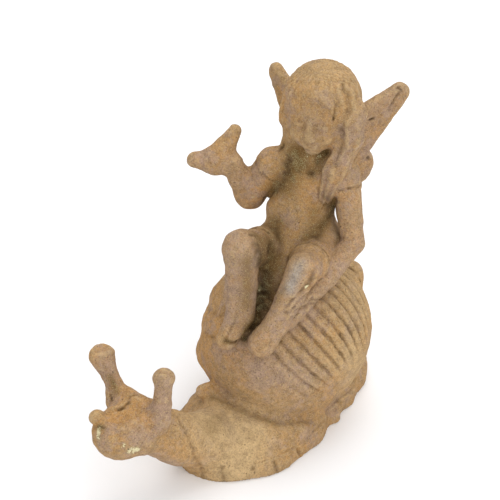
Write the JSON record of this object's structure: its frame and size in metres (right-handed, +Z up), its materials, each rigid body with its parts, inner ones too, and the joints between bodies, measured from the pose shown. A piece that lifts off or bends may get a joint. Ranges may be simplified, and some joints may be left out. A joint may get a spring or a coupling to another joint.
{
  "type": "cast iron fairy figure",
  "caption": "Small sand-cast iron garden ornament: a winged fairy sits on the ribbed shell of a crawling snail, an open hand held out, rusted brown all over.",
  "frame": {"origin": "on the flat underside of the snail's foot, straight below the middle of the shell", "axes": "+Z up, -Y the way the snail crawls, +X its left side"},
  "size_m": [0.0628, 0.1285, 0.1243],
  "materials": {
    "rusted_iron": "matt rust patina on rough sand-cast iron"
  },
  "bodies": {
    "root": {"fairy_on_snail_casting": "rusted_iron"}
  },
  "joints": []
}
